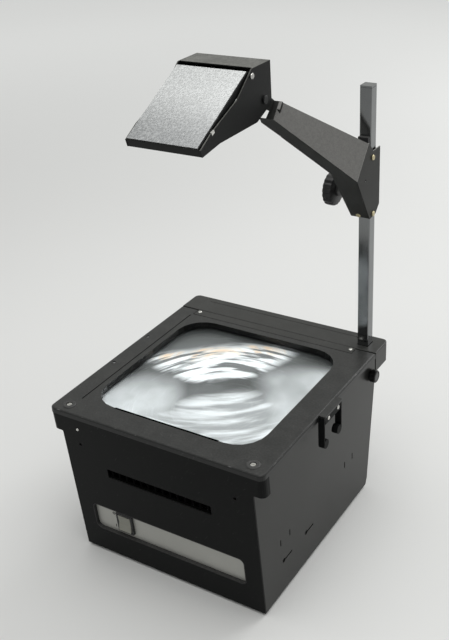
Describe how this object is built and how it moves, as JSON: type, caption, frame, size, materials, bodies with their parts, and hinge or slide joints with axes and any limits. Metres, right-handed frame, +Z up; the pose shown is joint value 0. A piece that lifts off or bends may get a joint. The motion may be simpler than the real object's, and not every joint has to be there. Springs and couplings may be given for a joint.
{
  "type": "overhead projector",
  "caption": "Overhead projector: a leaning sheet-metal lamp box with a hinged glass stage, a square post at one rear corner and a cranked arm that carries the head with its fold-down mirror.",
  "frame": {"origin": "on the table under the middle of the whole object, at the level of the feet", "axes": "+X to the right along the front panel, +Y to the rear, +Z up; the post stands at the right rear"},
  "size_m": [0.3326, 0.356, 0.656],
  "materials": {
    "black_paint": "satin black stoved paint",
    "grey_black_paint": "satin warm black paint with a fine grain",
    "black_plastic": "moulded matt black",
    "foot_rubber": "matt",
    "galvanised_sheet": "galvanised",
    "bright_steel": "nickelled",
    "yellow_zinc": "yellow passivated zinc",
    "post_chrome": "polished chrome, lightly scuffed",
    "stage_glass": "clear float glass",
    "fresnel_plastic": "clear acrylic with fine concentric grooves",
    "lens_glass": "polished lens",
    "mirror_silver": "silvered glass",
    "silver_plate": "satin",
    "hammered_plate": "silver hammer finish",
    "rocker_plastic": "beige",
    "lamp_ceramic": "unglazed",
    "reflector_metal": "polished",
    "iron_core": "varnished laminations",
    "copper_coil": "taped copper winding"
  },
  "bodies": {
    "frame": {"base_plate": "galvanised_sheet", "foot_front_left": "foot_rubber", "foot_front_right": "foot_rubber", "foot_rear_left": "foot_rubber", "foot_rear_right": "foot_rubber", "front_panel": "black_paint", "slot_grille": "black_plastic", "control_surround": "black_plastic", "control_plate": "silver_plate", "switch_body": "black_plastic", "side_panel_left": "black_paint", "side_panel_right": "grey_black_paint", "rear_panel": "black_paint", "mains_inlet": "black_plastic", "rear_cover": "grey_black_paint", "hinge_bar": "grey_black_paint", "hinge_pin_left": "bright_steel", "hinge_pin_right": "bright_steel", "rear_rail": "galvanised_sheet", "corner_block_left": "galvanised_sheet", "corner_block_right": "galvanised_sheet", "post_socket": "galvanised_sheet", "reflector": "reflector_metal", "lamp_socket": "lamp_ceramic", "lamp": "lens_glass", "condenser_holder": "galvanised_sheet", "condenser_lens": "lens_glass", "fan_frame": "black_plastic", "transformer_core": "iron_core", "transformer_coil": "copper_coil"},
    "rocker": {"rocker": "rocker_plastic"},
    "stage_lid": {"stage_lid": "grey_black_paint", "stage_glass": "stage_glass", "fresnel_lens": "fresnel_plastic", "glass_retainer": "black_paint", "cup_washer_left": "black_plastic", "cup_washer_right": "black_plastic", "roll_bracket": "black_paint"},
    "lid_screw_left": {"lid_screw_left": "bright_steel"},
    "lid_screw_right": {"lid_screw_right": "bright_steel"},
    "fan": {"fan_impeller": "black_plastic"},
    "clamp_knob": {"clamp_knob": "black_plastic"},
    "post": {"post": "post_chrome", "post_cap": "black_plastic"},
    "carriage": {"arm": "grey_black_paint", "carriage_bracket": "grey_black_paint", "guide_shoe": "black_plastic", "carriage_screw_upper": "yellow_zinc", "carriage_screw_lower": "yellow_zinc"},
    "focus_wheel": {"focus_shaft": "bright_steel", "focus_knob": "black_plastic"},
    "head": {"head_housing": "black_paint", "objective_barrel": "black_plastic", "objective_lens": "lens_glass", "hinge_screw_left": "bright_steel", "hinge_screw_right": "bright_steel", "head_bolt": "black_plastic"},
    "mirror_cover": {"mirror_cover": "black_paint", "cover_plate": "hammered_plate", "mirror": "mirror_silver"}
  },
  "joints": [
    {"name": "rocker_tip", "type": "hinge", "parent": "frame", "child": "rocker", "pos_m": [-0.0748, -0.15992, 0.069], "axis": [1, 0, 0], "range_deg": [0, 10]},
    {"name": "lid_hinge", "type": "hinge", "parent": "frame", "child": "stage_lid", "pos_m": [-0.0043, 0.128, 0.2385], "axis": [-1, 0, 0], "range_deg": [0, 45]},
    {"name": "lid_screw_left_turn", "type": "hinge", "parent": "stage_lid", "child": "lid_screw_left", "pos_m": [-0.1443, -0.162, 0.242], "axis": [0, 0, 1], "range_deg": [0, 90]},
    {"name": "lid_screw_right_turn", "type": "hinge", "parent": "stage_lid", "child": "lid_screw_right", "pos_m": [0.1357, -0.162, 0.242], "axis": [0, 0, 1], "range_deg": [0, 90]},
    {"name": "fan_spin", "type": "hinge", "parent": "frame", "child": "fan", "pos_m": [-0.0043, 0.105, 0.0526], "axis": [0, 1, 0], "continuous": true},
    {"name": "clamp_turn", "type": "hinge", "parent": "frame", "child": "clamp_knob", "pos_m": [0.1417, 0.1555, 0.191], "axis": [1, 0, 0], "range_deg": [0, 270]},
    {"name": "post_lift", "type": "slide", "parent": "frame", "child": "post", "axis": [0, 0, 1], "range_m": [0, 0.02]},
    {"name": "focus_slide", "type": "slide", "parent": "post", "child": "carriage", "axis": [0, 0, 1], "range_m": [-0.04, 0.05]},
    {"name": "focus_turn", "type": "hinge", "parent": "carriage", "child": "focus_wheel", "pos_m": [0.0842, 0.1408, 0.4725], "axis": [1, 0, 0], "range_deg": [-448, 359]},
    {"name": "head_tilt", "type": "hinge", "parent": "carriage", "child": "head", "pos_m": [0.0477, 0.0449, 0.6122], "axis": [1, 0, 0], "range_deg": [-10, 15]},
    {"name": "mirror_hinge", "type": "hinge", "parent": "head", "child": "mirror_cover", "pos_m": [-0.0043, 0.0172, 0.6476], "axis": [-1, 0, 0], "range_deg": [0, 75]}
  ],
  "couplings": [
    {"joint": "focus_turn", "follows": "focus_slide", "rad_per_m": -156.25}
  ]
}
